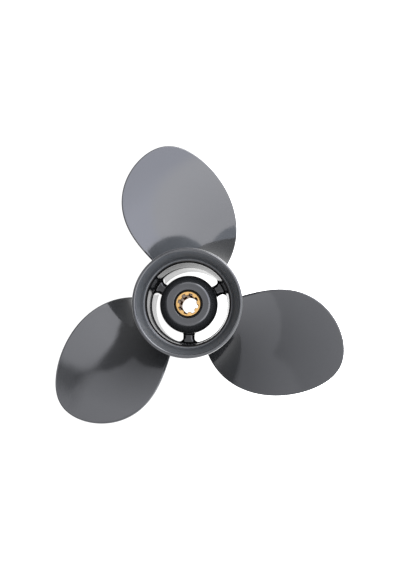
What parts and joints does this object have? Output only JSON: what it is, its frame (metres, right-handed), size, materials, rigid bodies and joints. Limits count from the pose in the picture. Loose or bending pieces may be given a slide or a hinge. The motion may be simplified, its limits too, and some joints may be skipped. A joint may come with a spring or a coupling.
{
  "type": "outboard motor propeller",
  "caption": "Outboard motor propeller: swept blades on a through-hub exhaust barrel with a flared outlet, a rubber drive bush and a splined brass sleeve, in dark grey gloss paint.",
  "frame": {"origin": "on the shaft axis, at the front edge of the hub, on which the propeller stands", "axes": "+Z aft along the shaft axis, out of the flared outlet; +Y to the middle of the upper exhaust passage; +X to the right seen from aft"},
  "size_m": [0.2086, 0.2012, 0.09],
  "materials": {
    "grey_paint": "cast aluminium under dark grey gloss paint",
    "black_rubber": "matt",
    "brass": "machined"
  },
  "bodies": {
    "root": {"hub_barrel": "grey_paint", "diffuser_ring": "grey_paint", "inner_hub": "grey_paint", "rib_1": "grey_paint", "rib_2": "grey_paint", "rib_3": "grey_paint", "blade_1": "grey_paint", "blade_2": "grey_paint", "blade_3": "grey_paint", "rubber_bush": "black_rubber", "spline_sleeve": "brass"}
  },
  "joints": []
}
